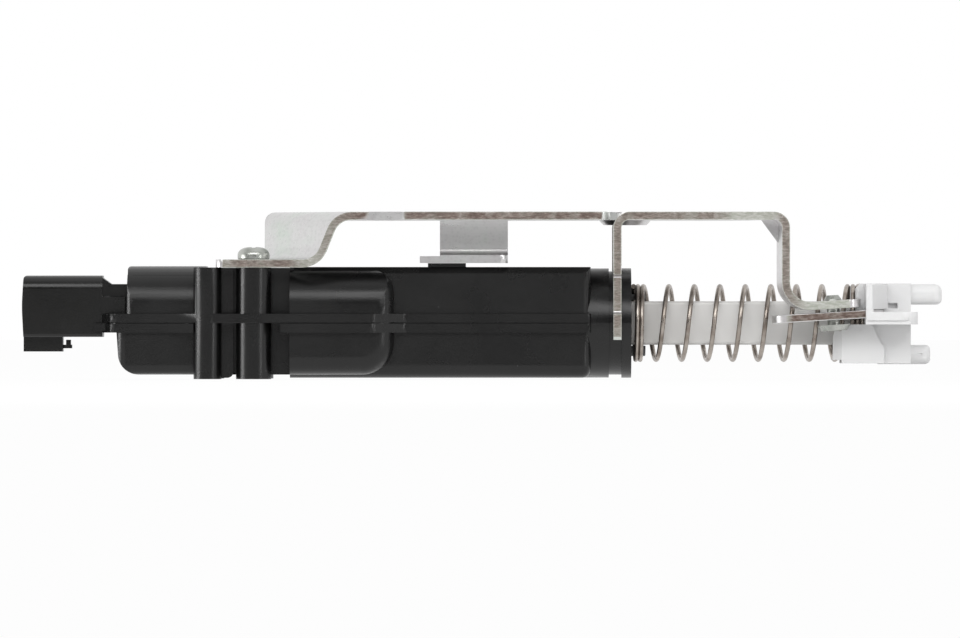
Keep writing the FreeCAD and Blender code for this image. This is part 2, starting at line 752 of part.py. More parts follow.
def plunger():
    line = gear_y + pinion_module * pinion_teeth / 2
    root = line + pinion_module * 1.2
    back = body_half_width - wall - rack_gap
    pitch = math.pi * pinion_module
    left = gear_x - pitch * (rack_teeth - 2.0)
    arm = box(left, jog_left + 1, root, back, rack_low, rack_low + rack_height)
    jog = box(jog_left, jog_left + 6, -rod_width / 2, back, -rod_height / 2, rack_low + rack_height)
    blade = box(jog_left + 5, rod_end, -rod_width / 2, rod_width / 2, -rod_height / 2, rod_height / 2)
    long_edges = edges_along(blade, V(1, 0, 0), lambda x, y, z: True)
    blade = blade.makeFillet(rod_edge, long_edges)
    body = arm.multiFuse([jog, blade] + rack_teeth_solid())
    body = body.cut(post(pin_radius, pin_x, 0, -20, 20))
    return body


def fork():
    w = fork_half_width
    inner = w - fork_step
    nose_half = w - 2.0
    lower = outline([(fork_nose_left, -nose_half), (fork_lower_left, -w), (fork_wall_right, -w),
                     (fork_wall_right, -inner), (fork_body_right, -inner), (fork_body_right, inner),
                     (fork_wall_right, inner), (fork_wall_right, w), (fork_lower_left, w),
                     (fork_nose_left, nose_half)],
                    "XY", fork_bottom, shelf_low - fork_bottom)
    nose_trim = [box(fork_nose_left - 1, fork_lower_left, -w, w, -2.0, 1),
                 box(fork_nose_left - 1, fork_lower_left, -w, w, fork_bottom - 1, fork_bottom + 0.85)]
    # The wall's right edge leans out below the slot.
    right = fork_wall_right
    slope = [(right - 3.4, 0.5), (right + 0.8, 0.5), (right + 0.8, -8), (right, -6.0), (right - 0.8, -5.2)]
    leans = [outline(slope, "XZ", y0, fork_step + 1) for y0 in (-w - 1, inner)]
    lower = lower.cut(Part.makeCompound(nose_trim + leans))
    middle = box(fork_wall_x - 2.5, fork_body_right, -inner, inner, shelf_low - 0.1, upper_prong_low + 0.1)
    core = fork_core_half_width
    wide = fork_upper_half_width
    right = fork_upper_right
    upper = outline([(fork_upper_left, -wide + 0.5, 1.0), (right, -wide), (right, -core),
                     (fork_body_right, -core), (fork_body_right, core), (right, core), (right, wide),
                     (fork_upper_left, wide - 0.5, 1.0)],
                    "XY", shelf_top, fork_top - shelf_top)
    lobe = outline([(fork_lobe_left, fork_lobe_near, 0.6), (fork_lobe_left + 1.6, fork_lobe_near, 0.6),
                    (right, -wide - 1.1), (right, -core), (fork_lobe_left, -core)],
                   "XY", shelf_top - 0.1, fork_top - 0.1 - shelf_top)
    slant = outline([(fork_upper_left - 1, fork_top + 1), (fork_upper_left - 1, fork_top - fork_bevel),
                     (fork_upper_left, fork_top - fork_bevel), (fork_upper_left + fork_bevel, fork_top),
                     (fork_upper_left + fork_bevel, fork_top + 1)], "XZ", -wide - 1, 2 * wide + 2)
    upper = upper.cut(slant)
    shelf_right = fork_body_right + 1.5
    shelf = outline([(fork_lobe_left, fork_lobe_near, 0.6), (shelf_right, fork_lobe_near, 4.0),
                     (shelf_right, -core, 1.0), (fork_lobe_left, -core)],
                    "XY", shelf_low, shelf_top - shelf_low)
    shelf = shelf.cut(box(fork_lobe_left - 1, shelf_right + 1, fork_lobe_near - 1, fork_lobe_near + 0.5,
                          shelf_low - 1, shelf_low + 1.0))
    root = fork_wall_x + 2.5
    high_prong = outline([(root, upper_prong_low), (fork_upper_tip, upper_prong_low, 1.4),
                          (fork_upper_tip, fork_top - 0.2, 1.8), (root, fork_top - 0.2)],
                         "XZ", -fork_prong_half_width, 2 * fork_prong_half_width)
    low_prong = outline([(root, lower_prong_top), (fork_lower_tip, lower_prong_top, 1.2),
                         (fork_lower_tip, fork_bottom - 0.2, 1.4), (root, fork_bottom - 0.2)],
                        "XZ", -fork_prong_half_width, 2 * fork_prong_half_width)
    ends = []
    for prong in (high_prong, low_prong):
        tips = edges_along(prong, V(0, 0, 1), lambda x, y, z: x > fork_lower_tip - 0.1)
        ends.append(prong.makeFillet(2.2, tips) if tips else prong)
    body = lower.multiFuse([middle, upper, lobe, shelf] + ends)
    cuts = [bar(spring_outer + 0.35, fork_nose_left - 5, fork_wall_x, 0, 0),
            box(fork_nose_left, rod_end + 0.1, -rod_width / 2 - 0.05, rod_width / 2 + 0.05,
                -rod_height / 2 - 0.05, rod_height / 2 + 0.05),
            tilted(box(rivet_x, plate_right + 0.1, plate_y - plate_width / 2 - 0.05,
                       plate_y + plate_width / 2 + 0.05, plate_bottom - 0.05,
                       plate_bottom + plate_thick + 0.05)),
            post(pin_radius, pin_x, 0, -20, 20),
            box(right + 0.3, right + 2.7, -w - 0.4, -core + 1.4, shelf_top + 0.9, shelf_top + 2.25)]
    return body.cut(Part.makeCompound(cuts))


def tilted(shape):
    # The guide plate rises a little towards the fork.
    shape.rotate(V(rivet_x, plate_y, plate_mid), V(0, 1, 0), -plate_tilt)
    return shape


def guide_plate():
    y0 = plate_y - plate_width / 2
    y1 = plate_y + plate_width / 2
    end_round = plate_width / 2 - 0.2
    plate = outline([(plate_left, y0, end_round), (plate_right, y0), (plate_right, y1),
                     (plate_left, y1, end_round)], "XY", plate_bottom, plate_thick)
    half = rivet_shank + plate_gap
    slot_left = rivet_x - stroke - half
    slot = outline([(slot_left, plate_y - half, half - 0.01), (rivet_x + half, plate_y - half, half - 0.01),
                    (rivet_x + half, plate_y + half, half - 0.01), (slot_left, plate_y + half, half - 0.01)],
                   "XY", plate_bottom - 1, plate_thick + 2)
    return tilted(plate.cut(slot))


def guide_rivet():
    # The head leaves room for the tilted plate over the whole stroke.
    low = plate_bottom - (stroke + rivet_head_radius) * math.tan(math.radians(plate_tilt)) - plate_gap
    head = Part.makeCone(rivet_head_radius - 1.1, rivet_head_radius, rivet_head_height,
                         V(rivet_x, plate_y, low - rivet_head_height))
    # The tail stands on the bracket's foot, which lies along the plate.
    tilt = math.radians(plate_tilt)
    seat = plate_mid + (foot_z - plate_mid) * math.cos(tilt) + sheet + leg_slant * math.tan(tilt)
    shank = post(rivet_shank, rivet_x, plate_y, low - 0.3, seat + 0.1)
    tail = Part.makeCone(rivet_tail_radius, rivet_tail_radius - 0.8, rivet_tail_height,
                         V(rivet_x, plate_y, seat))
    return tilted(fuse(head, shank, tail))


def return_spring():
    # Closed turns at both ends and open turns between, wound left-handed. The wire's section has
    # wire_sides flats, and rings of it stand round the axis, spring_steps to a turn.
    mean = spring_outer - wire_radius
    start = spring_end_gap + wire_radius
    room = fork_wall_x - start - start
    left_run = spring_left_pitch * spring_left_turns
    open_turns = (room - left_run - spring_closed_pitch * spring_right_turns) / spring_pitch
    total = spring_left_turns + open_turns + spring_right_turns
    count = round(total * spring_steps)
    rings = []
    for i in range(count + 1):
        turn = total * i / count
        risen = min(max(turn - spring_left_turns, 0), open_turns)
        last = max(turn - spring_left_turns - open_turns, 0)
        x = (start + spring_left_pitch * min(turn, spring_left_turns) + spring_pitch * risen
             + spring_closed_pitch * last)
        round_at = 2 * math.pi * (turn + spring_phase)
        outward = V(0, math.cos(round_at), -math.sin(round_at))
        ring = []
        for k in range(wire_sides):
            angle = 2 * math.pi * (k + 0.5) / wire_sides
            ring.append(V(x + wire_radius * math.sin(angle), 0, 0)
                        + outward * (mean + wire_radius * math.cos(angle)))
        rings.append(Part.makePolygon(ring + ring[:1]))
    return Part.makeLoft(rings, True, True)


def bush():
    sleeve = bar(bush_radius, -bush_length, 0, 0, 0)
    lips = bar(spring_outer - 2 * wire_radius - 0.25, -1, bush_lip_length, 0, 0)
    lips = lips.common(box(-2, 10, -5.6, 5.6, -8.3, 7.2))
    body = sleeve.fuse(lips)
    body = body.cut(box(-20, 20, -rod_width / 2 - rod_gap, rod_width / 2 + rod_gap,
                        -rod_height / 2 - rod_gap, rod_height / 2 + rod_gap))
    return body


def seal():
    ring = bar(bush_radius - 0.9, -bush_length - 0.1 - seal_length, -bush_length - 0.1, 0, 0)
    return ring.cut(box(-30, 20, -rod_width / 2 - 0.1, rod_width / 2 + 0.1,
                        -rod_height / 2 - 0.1, rod_height / 2 + 0.1))


def bumper():
    # A grommet in the housing's rib; the plunger's shoulder rests on it when it is drawn in.
    disc = bar(4.6, rib_x + 2, jog_left - 0.3, 0, 0)
    neck = bar(2.0, rib_x - 0.2, rib_x + 2.2, 0, 0)
    knob = bar(2.9, rib_x - 1.6, rib_x, 0, 0)
    return fuse(disc, neck, knob)


# Bracket

def corner_round(x, z, radius):
    # What a rounded upper left corner, seen along Y, takes off.
    square = box(x - 5, x + radius, -60, 60, z - radius, z + 5)
    return square.cut(Part.makeCylinder(radius, 140, V(x + radius, -70, z - radius), V(0, 1, 0)))


def bracket():
    low = top_face - sheet
    outer = bend_inner + sheet
    bend_x = yoke_left + outer
    relief = yoke_left - 1.6
    gap = ring_half_width
    plate = outline([(riser_top_x - 2, foot_near), (plate_step_x, foot_near),
                     (plate_wide_x, plate_near, 3.0), (relief, plate_near, 1.5), (relief, -gap, 1.0),
                     (bend_x, -gap),
                     (bend_x, strip_near), (plate_right_x, strip_near), (plate_right_x, leg_far, 1.0),
                     (plate_right_x - 4, 10, 5.0), (20, plate_far, 6.0), (bend_x, plate_far), (bend_x, gap),
                     (relief, gap, 1.0), (relief, plate_far, 1.5), (riser_top_x - 2.4, plate_far, 8.0),
                     (riser_end_x + 3, wing_far, 3.0),
                     (riser_end_x + 3, foot_near + riser_top_x - 2 - riser_end_x - 3)],
                    "XY", low, sheet)
    foot = outline([(foot_left, foot_near, 2.0), (riser_foot_x + 1.2, foot_near),
                    (riser_end_x, foot_near + riser_foot_x + 1.2 - riser_end_x), (foot_left, -10.4, 3.0)],
                   "XY", boss_top, sheet)
    # The riser's bends run at forty-five degrees to the edge, from near right to far left.
    rise = low - boss_top
    slope = math.atan2(rise, riser_top_x - 2 - (riser_foot_x + 1.2))
    shift = sheet / 2 * math.tan(slope / 2)
    a = riser_foot_x + 1.2
    b = riser_top_x - 2
    inner = riser_bend
    profile = [(a - 4, boss_top), (a + shift, boss_top, inner + sheet), (b + shift, low, inner),
               (b + 4, low), (b + 4, top_face), (b - shift, top_face, inner + sheet),
               (a - shift, boss_top + sheet, inner), (a - 4, boss_top + sheet)]
    run = 26.0
    riser = outline(profile, "XZ", foot_near, run, V(-run, run, 0))
    riser = riser.common(box(riser_end_x, 0, foot_near, 20, 0, 40))
    # At its left end the riser turns the corner into a short wing.
    wing = outline([(riser_end_x, wing_low), (riser_end_x, top_face, outer), (riser_end_x + 7, top_face),
                    (riser_end_x + 7, low), (riser_end_x + sheet, low, bend_inner),
                    (riser_end_x + sheet, wing_low)], "XZ", foot_near, wing_far - foot_near)
    y_low = foot_near + a - riser_end_x
    y_high = foot_near + b - riser_end_x
    wing = wing.common(outline([(y_low, wing_low - 1), (y_high, top_face + 1), (wing_far, top_face + 1),
                                (wing_far, wing_low + 6, 3.0), (wing_far - 5, wing_low - 1)], "YZ",
                               riser_end_x - 1, 12))
    yoke = outline([(bend_x + 1, top_face), (yoke_left, top_face, outer), (yoke_left, yoke_end_z),
                    (yoke_left + sheet, yoke_end_z), (yoke_left + sheet, low, bend_inner),
                    (bend_x + 1, low)],
                   "XZ", strip_near, plate_far - strip_near)
    ring = bar(groove_radius + yoke_gap, -10, 5, 0, 0)
    open_middle = box(-10, bend_x + 1.5, -gap, gap, -20, 40)
    notch = outline([(strip_near - 1, 12.4), (strip_near + 1.6, 11.6, 0.6), (strip_near + 1.6, 2.6, 0.6),
                     (strip_near - 1, 1.8)], "YZ", -10, 20)
    corner = outline([(strip_near - 1, yoke_end_z - 1), (strip_near + 1.2, yoke_end_z - 1),
                      (strip_near - 1, yoke_end_z + 2.2)], "YZ", -10, 20)
    yoke = yoke.cut(Part.makeCompound([ring, open_middle, notch, corner]))
    # The leg's foot lies along the guide plate, so it rises towards its end; foot_z is its lower face
    # at the rivet.
    rise_rate = math.tan(math.radians(plate_tilt))
    thick = sheet / math.cos(math.radians(plate_tilt))
    root_z = foot_z - (rivet_x - leg_x) * rise_rate
    end_z = foot_z + (foot_right - rivet_x) * rise_rate
    leg = outline([(plate_right_x - 0.5, top_face), (leg_x + sheet, top_face, outer),
                   (leg_x + sheet, root_z + thick + sheet * rise_rate, leg_bend), (foot_right, end_z + thick),
                   (foot_right, end_z), (leg_x, root_z, leg_bend + sheet), (leg_x, low, bend_inner),
                   (plate_right_x - 0.5, low)],
                  "XZ", strip_near, 1, V(-leg_slant, leg_far - strip_near, 0))
    tips = edges_along(leg, V(0, 0, 1), lambda x, y, z: x > foot_right - 4 and z < end_z + thick)
    leg = leg.makeFillet(3.0, tips)
    gusset = outline([(leg_x - 5.4, low + 0.5), (leg_x - 0.2, low + 0.5), (leg_x - 0.2, low - 6.6)],
                     "XZ", leg_far - 3.0, 1.6)
    dish = Part.makeCone(dish_radius - 1.2, dish_radius, dish_depth, V(hole_x, hole_y, low - dish_depth))
    tab = outline([(tab_y + sheet, low + 0.5), (tab_y + sheet, tab_low, 3.6), (tab_y - 5.5, tab_low),
                   (tab_y - 5.5, tab_low + sheet), (tab_y, tab_low + sheet, 1.6), (tab_y, low + 0.5)],
                  "YZ", tab_left, tab_right - tab_left)
    lip = edges_along(tab, V(0, 0, 1), lambda x, y, z: y < tab_y - 5 and x > tab_right - 0.1)
    tab = tab.makeFillet(2.0, lip)
    ear = box(tab_left - 5.0, tab_left + 0.5, tab_y - 5.5, tab_y - 2.0, tab_low, tab_low + 1.7)
    body = plate.multiFuse([foot, riser, wing, yoke, leg, gusset, dish, tab, ear])
    cuts = [post(dish_radius - 1.9, hole_x, hole_y, top_face - dish_depth, top_face + 1),
            post(hole_radius, hole_x, hole_y, 10, 40), post(hole_radius, rear_hole_x, hole_y, 10, 40),
            post(screw_shank + hole_gap, boss_front_x, boss_y, 10, 20),
            tilted(post(rivet_shank, rivet_x, plate_y, foot_z - 1, foot_z + sheet + 1)),
            corner_round(riser_end_x, top_face, riser_corner),
            box(tab_left - 0.5, tab_right + 0.5, tab_y + sheet, tab_y + sheet + 10.5, low - 1, top_face + 1)]
    return body.cut(Part.makeCompound(cuts)).removeSplitter()


def pan_screw(x, y, seat, length, head_radius, head_height, way):
    # The head stands on its seat, upwards for way = 1 and downwards for way = -1.
    rim = head_height * 0.6
    head = Part.makeCylinder(head_radius, rim, V(x, y, seat), V(0, 0, way))
    crown = Part.makeCone(head_radius, head_radius * 0.72, head_height - rim,
                          V(x, y, seat + way * rim), V(0, 0, way))
    shank = Part.makeCylinder(screw_shank, length, V(x, y, seat + way * 0.1), V(0, 0, -way))
    return fuse(head, crown, shank)


def contact_strips():
    # Two strips rise from the blades, run over the gears and drop to the motor's end cap.
    left = chamber_left + wall + blade_tail
    right = motor_left - cap_depth - 0.05
    shape = [(left, blade_z - 0.4), (left + 0.5, blade_z - 0.4), (left + 0.5, strip_z),
             (right - 0.5, strip_z), (right - 0.5, strip_z - 3.0), (right, strip_z - 3.0),
             (right, strip_z + 0.5), (left, strip_z + 0.5)]
    return [outline(shape, "XZ", y0, strip_width) for y0 in strip_near_sides]


def main():
    os.makedirs("parts", exist_ok=True)
    upper, lower = housing()
    header, blades = connector()
    pieces = {"upper_housing": upper, "lower_housing": lower, "connector_header": header,
              "terminal_blades": blades}
    names = ("motor_can", "motor_end_cap", "motor_magnets", "motor_bearings", "rotor_core",
             "rotor_windings", "commutator", "brushes", "motor_shaft")
    pieces.update(zip(names, motor()))
    pieces["shaft_bearing"] = bar(bearing_radius, saddle_x + 0.3, saddle_x + 2.7, motor_y, 0).cut(
        bar(shaft_radius + running_gap, saddle_x, saddle_x + 3, motor_y, 0))
    pieces["worm"] = worm()
    pieces["drive_gear"] = drive_gear()
    pieces["gear_axle"] = post(axle_radius, gear_x, gear_y, axle_low, axle_high)
    pieces["contact_strips"] = Part.makeCompound(contact_strips())
    pieces["thermal_cutout"] = post(3.0, gear_x - 14, strip_near_sides[0] + strip_width / 2 - 0.6,
                                    strip_z + 0.5, strip_z + 1.7)
    pieces["plunger_rod"] = plunger()
    pieces["end_fork"] = fork()
    pieces["fork_pin"] = post(pin_radius, pin_x, 0, fork_bottom + 0.4, fork_top - 0.4)
    pieces["guide_plate"] = guide_plate()
    pieces["guide_rivet"] = guide_rivet()
    pieces["return_spring"] = return_spring()
    pieces["nose_bush"] = bush()
    pieces["nose_seal"] = seal()
    pieces["stop_bumper"] = bumper()
    pieces["bracket"] = bracket()
    pieces["bracket_screw"] = pan_screw(boss_front_x, boss_y, boss_top + sheet, bracket_screw_length,
                                        screw_head_radius, screw_head_height, 1)
    screws = [pan_screw(x, y, boss_bottom + shell_seat, shell_screw_length, shell_head_radius,
                        shell_head_height, -1) for x, y in shell_screws()]
    pieces["housing_screws"] = Part.makeCompound(screws)
    shift = V(-hole_x, -hole_y, dish_depth - top_face)
    for name, shape in pieces.items():
        moved = shape.copy()
        moved.translate(shift)
        print(name, "solids", len(moved.Solids), "valid", moved.isValid(), "volume", round(moved.Volume, 1))
        moved.exportStep("parts/" + name + ".step")


main()
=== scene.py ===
import math

import bmesh
import bpy
from mathutils import Matrix, Vector

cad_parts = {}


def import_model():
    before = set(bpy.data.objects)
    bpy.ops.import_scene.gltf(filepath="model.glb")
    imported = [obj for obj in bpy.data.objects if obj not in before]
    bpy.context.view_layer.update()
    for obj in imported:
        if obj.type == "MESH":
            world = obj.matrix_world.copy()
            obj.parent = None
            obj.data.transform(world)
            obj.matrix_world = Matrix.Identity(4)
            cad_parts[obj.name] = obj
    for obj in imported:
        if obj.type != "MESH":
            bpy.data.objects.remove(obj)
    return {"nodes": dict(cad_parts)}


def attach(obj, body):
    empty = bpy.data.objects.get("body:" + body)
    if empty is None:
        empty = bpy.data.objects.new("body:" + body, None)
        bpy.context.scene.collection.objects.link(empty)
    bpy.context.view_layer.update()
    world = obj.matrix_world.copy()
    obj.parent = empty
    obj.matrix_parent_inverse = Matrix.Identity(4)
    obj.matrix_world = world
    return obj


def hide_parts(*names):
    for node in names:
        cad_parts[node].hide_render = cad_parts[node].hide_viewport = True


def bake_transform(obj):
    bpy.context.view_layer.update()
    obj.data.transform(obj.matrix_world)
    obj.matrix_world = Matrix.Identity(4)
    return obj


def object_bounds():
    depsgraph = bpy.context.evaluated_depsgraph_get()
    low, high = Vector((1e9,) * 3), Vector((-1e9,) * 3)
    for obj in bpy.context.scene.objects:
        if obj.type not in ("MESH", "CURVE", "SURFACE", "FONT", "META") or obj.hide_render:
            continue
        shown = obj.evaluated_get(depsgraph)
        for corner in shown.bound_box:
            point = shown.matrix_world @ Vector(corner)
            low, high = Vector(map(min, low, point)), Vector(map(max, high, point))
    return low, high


# Door latch actuator. Sizes here are millimetres from the plunger axis at the nose's end face:
# X towards the fork, Y away from the motor bulge, Z up to the bracket.

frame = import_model()
cad_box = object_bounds()

# A millimetre in the frame's metres, and where the plunger axis lies in the frame
mm = 0.001
axis_x = 1.5
axis_z = -26.55

# Vertices closer than this are one: in a solid's loose triangles, and in a mesh made here
solid_merge = 0.002 * mm
piece_merge = 0.0005 * mm


def place(x, y, z):
    return Vector((x + axis_x, y, z + axis_z)) * mm


def colour(red, green, blue):
    # A colour as it is read off a screen, turned to the linear values that the shader takes.
    def linear(value):
        value = value / 255.0
        return value / 12.92 if value <= 0.04045 else ((value + 0.055) / 1.055) ** 2.4
    return (linear(red), linear(green), linear(blue), 1.0)


# Shader helpers

def feed(tree, socket, value):
    if isinstance(value, bpy.types.NodeSocket):
        tree.links.new(value, socket)
    else:
        socket.default_value = value


def add(tree, kind, sockets=None, **settings):
    made = tree.nodes.new(kind)
    for name, value in settings.items():
        setattr(made, name, value)
    for name, value in (sockets or {}).items():
        feed(tree, made.inputs[name], value)
    return made


def new_material(name):
    material = bpy.data.materials.new(name)
    material.use_nodes = True
    tree = material.node_tree
    tree.nodes.clear()
    surface = add(tree, "ShaderNodeBsdfPrincipled")
    output = add(tree, "ShaderNodeOutputMaterial")
    tree.links.new(surface.outputs[0], output.inputs[0])
    coords = add(tree, "ShaderNodeTexCoord")
    return material, tree, surface, coords


def stretched(tree, coords, scale):
    mapping = add(tree, "ShaderNodeMapping", {"Vector": coords.outputs["Object"], "Scale": scale})
    return mapping.outputs[0]


def noise(tree, vector, scale, detail=2.0, roughness=0.5):
    made = add(tree, "ShaderNodeTexNoise",
               {"Vector": vector, "Scale": scale, "Detail": detail, "Roughness": roughness})
    return made.outputs["Fac"]


def spread(tree, value, low, high, new_low, new_high):
    made = add(tree, "ShaderNodeMapRange",
               {"Value": value, "From Min": low, "From Max": high, "To Min": new_low, "To Max": new_high})
    return made.outputs[0]


def ramp(tree, value, stops):
    made = add(tree, "ShaderNodeValToRGB", {"Fac": value})
    elements = made.color_ramp.elements
    while len(elements) < len(stops):
        elements.new(0.5)
    for element, (position, shade) in zip(elements, stops):
        element.position = position
        element.color = shade
    return made.outputs[0]


def mix(tree, factor, first, second):
    made = add(tree, "ShaderNodeMix", data_type="RGBA")
    for socket, value in ((0, factor), (6, first), (7, second)):
        feed(tree, made.inputs[socket], value)
    return made.outputs[2]


def work(tree, operation, first, second=0.0, clamp=False):
    made = add(tree, "ShaderNodeMath", operation=operation, use_clamp=clamp)
    feed(tree, made.inputs[0], first)
    feed(tree, made.inputs[1], second)
    return made.outputs[0]


def bumped(tree, surface, height, strength, distance):
    bump = add(tree, "ShaderNodeBump", {"Strength": strength, "Distance": distance, "Height": height})
    tree.links.new(bump.outputs[0], surface.inputs["Normal"])


def rim(tree, radius):
    # 1 close to an edge of the piece and 0 away from it, from normals rounded over the radius.
    rounded = add(tree, "ShaderNodeBevel", {"Radius": radius}, samples=6)
    plain = add(tree, "ShaderNodeNewGeometry")
    both = add(tree, "ShaderNodeVectorMath", operation="DOT_PRODUCT")
    tree.links.new(rounded.outputs[0], both.inputs[0])
    tree.links.new(plain.outputs["Normal"], both.inputs[1])
    return spread(tree, both.outputs["Value"], 1.0, 0.8, 0.0, 1.0)


# Finishes

def moulded_black(name, base, worn, roughness, grain, gloss=0.2):
    # Black moulding: fine grain, slow changes of gloss, and a few pale specks of dust.
    material, tree, surface, coords = new_material(name)
    vector = coords.outputs["Object"]
    cloud = noise(tree, vector, 90.0, 3.0)
    tone = mix(tree, spread(tree, cloud, 0.35, 0.7, 0.0, 1.0), base, worn)
    specks = add(tree, "ShaderNodeTexVoronoi", {"Vector": vector, "Scale": 420.0})
    dust = spread(tree, specks.outputs["Distance"], 0.03, 0.055, 1.0, 0.0)
    rare = spread(tree, noise(tree, vector, 260.0, 1.0), 0.60, 0.68, 0.0, 0.55)
    tone = mix(tree, work(tree, "MULTIPLY", dust, rare), tone, colour(120, 120, 122))
    tree.links.new(tone, surface.inputs["Base Color"])
    rough = spread(tree, noise(tree, vector, 45.0, 4.0), 0.3, 0.7, roughness - 0.05, roughness + 0.07)
    tree.links.new(rough, surface.inputs["Roughness"])
    surface.inputs["Specular IOR Level"].default_value = gloss
    bumped(tree, surface, noise(tree, vector, 3200.0, 2.0), grain, 0.1 * mm)
    return material


# The middle line of the bracket's sheet along Y, and how far from it the sheared edges begin
sheet_middle = -4.0
sheared_from = 15.5
sheared_full = 16.0


def zinc_plate(name, stretches):
    # Plated sheet: faint rolled lines, a slight green and rose bloom, and sheared edges. A sheared edge
    # shows brown in stretches along X, given as (X in millimetres, share of brown).
    material, tree, surface, coords = new_material(name)
    vector = coords.outputs["Object"]
    bloom = ramp(tree, noise(tree, vector, 70.0, 4.0, 0.6),
                 [(0.30, colour(205, 212, 205)), (0.46, colour(214, 214, 213)),
                  (0.60, colour(213, 210, 211)), (0.72, colour(206, 208, 211))])
    rolled = noise(tree, stretched(tree, coords, (40.0, 1600.0, 900.0)), 1.0, 3.0, 0.6)
    tone = mix(tree, spread(tree, rolled, 0.4, 0.62, 0.0, 0.12), bloom, colour(180, 181, 180))
    spot = add(tree, "ShaderNodeTexVoronoi", {"Vector": vector, "Scale": 1100.0})
    grit = spread(tree, spot.outputs["Distance"], 0.1, 0.5, 0.12, 0.0)
    tone = mix(tree, grit, tone, colour(130, 133, 130))
    # Sheared edges face the near and the far side, and their rims keep the plating.
    normal = add(tree, "ShaderNodeSeparateXYZ", {"Vector": coords.outputs["Normal"]})
    at = add(tree, "ShaderNodeSeparateXYZ", {"Vector": vector})
    facing = spread(tree, work(tree, "ABSOLUTE", normal.outputs[1]), 0.975, 0.998, 0.0, 1.0)
    reach = work(tree, "ABSOLUTE", work(tree, "ADD", at.outputs[1], -sheet_middle * mm))
    outside = spread(tree, reach, sheared_from * mm, sheared_full * mm, 0.0, 1.0)
    cut = work(tree, "MULTIPLY", facing, outside)
    left = stretches[0][0]
    right = stretches[-1][0]
    along = spread(tree, at.outputs[0], (left + axis_x) * mm, (right + axis_x) * mm, 0.0, 1.0)
    stops = [((x - left) / (right - left), (share, share, share, 1.0)) for x, share in stretches]
    wander = noise(tree, stretched(tree, coords, (260.0, 120.0, 260.0)), 1.0, 3.0, 0.6)
    brown = work(tree, "MULTIPLY", ramp(tree, along, stops), spread(tree, wander, 0.34, 0.52, 0.7, 1.0))
    brown = work(tree, "MULTIPLY", brown, spread(tree, rim(tree, 0.5 * mm), 0.1, 0.4, 1.0, 0.0))
    fray = noise(tree, stretched(tree, coords, (700.0, 400.0, 2600.0)), 1.0, 3.0, 0.7)
    rust = ramp(tree, fray, [(0.36, colour(98, 84, 78)), (0.52, colour(126, 111, 104)),
                             (0.72, colour(160, 150, 143))])
    clean = ramp(tree, fray, [(0.36, colour(176, 180, 168)), (0.62, colour(206, 207, 202))])
    tone = mix(tree, cut, tone, mix(tree, brown, clean, rust))
    tree.links.new(tone, surface.inputs["Base Color"])
    surface.inputs["Metallic"].default_value = 1.0
    rough = spread(tree, rolled, 0.3, 0.7, 0.26, 0.38)
    rough = work(tree, "ADD", rough, work(tree, "MULTIPLY", cut, 0.25))
    tree.links.new(rough, surface.inputs["Roughness"])
    height = work(tree, "ADD", work(tree, "MULTIPLY", rolled, 0.4), work(tree, "MULTIPLY", fray, cut))
    bumped(tree, surface, height, 0.1, 0.2 * mm)
    return material


def metal(name, base, dark, roughness, grain):
    # Bare or plated metal, with slow changes of tone and gloss and a fine grain.
    material, tree, surface, coords = new_material(name)
    vector = coords.outputs["Object"]
    cloud = noise(tree, vector, 300.0, 3.0)
    tone = mix(tree, spread(tree, cloud, 0.35, 0.7, 0.0, 1.0), base, dark)
    tree.links.new(tone, surface.inputs["Base Color"])
    surface.inputs["Metallic"].default_value = 1.0
    rough = spread(tree, noise(tree, vector, 700.0, 2.0), 0.3, 0.7, roughness - 0.06, roughness + 0.08)
    tree.links.new(rough, surface.inputs["Roughness"])
    bumped(tree, surface, noise(tree, vector, 1800.0, 2.0), grain, 0.1 * mm)
    return material


def pale_plastic(name, base, shade, roughness, shade_darkest_x=None, shade_end_x=None):
    # Smooth pale moulding. Between the two X values given, millimetres along the plunger, it turns from
    # shade to base:
    # painted shade, darkest at the lower X, next to the nose.
    material, tree, surface, coords = new_material(name)
    vector = coords.outputs["Object"]
    factor = spread(tree, noise(tree, vector, 120.0, 3.0), 0.3, 0.7, 0.0, 0.35)
    if shade_darkest_x is not None:
        along = add(tree, "ShaderNodeSeparateXYZ", {"Vector": vector}).outputs[0]
        # Painted shade: the piece darkens towards the lower X, next to the nose, where the nose shades it.
        painted_shade = spread(tree, along, (shade_end_x + axis_x) * mm, (shade_darkest_x + axis_x) * mm, 0.0, 1.0)
        factor = work(tree, "ADD", work(tree, "MULTIPLY", factor, 0.4), painted_shade, True)
    tone = mix(tree, factor, base, shade)
    tree.links.new(tone, surface.inputs["Base Color"])
    rough = spread(tree, noise(tree, vector, 400.0, 2.0), 0.3, 0.7, roughness - 0.05, roughness + 0.05)
    tree.links.new(rough, surface.inputs["Roughness"])
    surface.inputs["Subsurface Weight"].default_value = 0.05
    surface.inputs["Subsurface Radius"].default_value = (mm, mm, mm)
    bumped(tree, surface, noise(tree, vector, 2200.0, 2.0), 0.05, 0.1 * mm)
    return material


# Where the sheared edges are brown along X, from the foot over the top plate to the front leg
bracket_brown = [
    (-104.0, 0.5), (-98.0, 0.9), (-86.0, 0.9), (-80.0, 0.3), (-75.0, 0.7), (-66.5, 1.0), (-64.5, 0.1),
    (-57.5, 0.1), (-56.0, 0.95), (-6.0, 0.95), (-4.0, 0.8), (2.0, 0.9), (7.0, 0.8), (23.0, 0.8),
    (25.0, 0.15), (36.0, 0.3), (37.6, 0.85), (40.0, 0.7), (44.0, 0.1), (58.0, 0.1),
]
guide_brown = [(34.0, 0.2), (39.0, 0.35), (40.0, 1.0), (68.0, 1.0)]

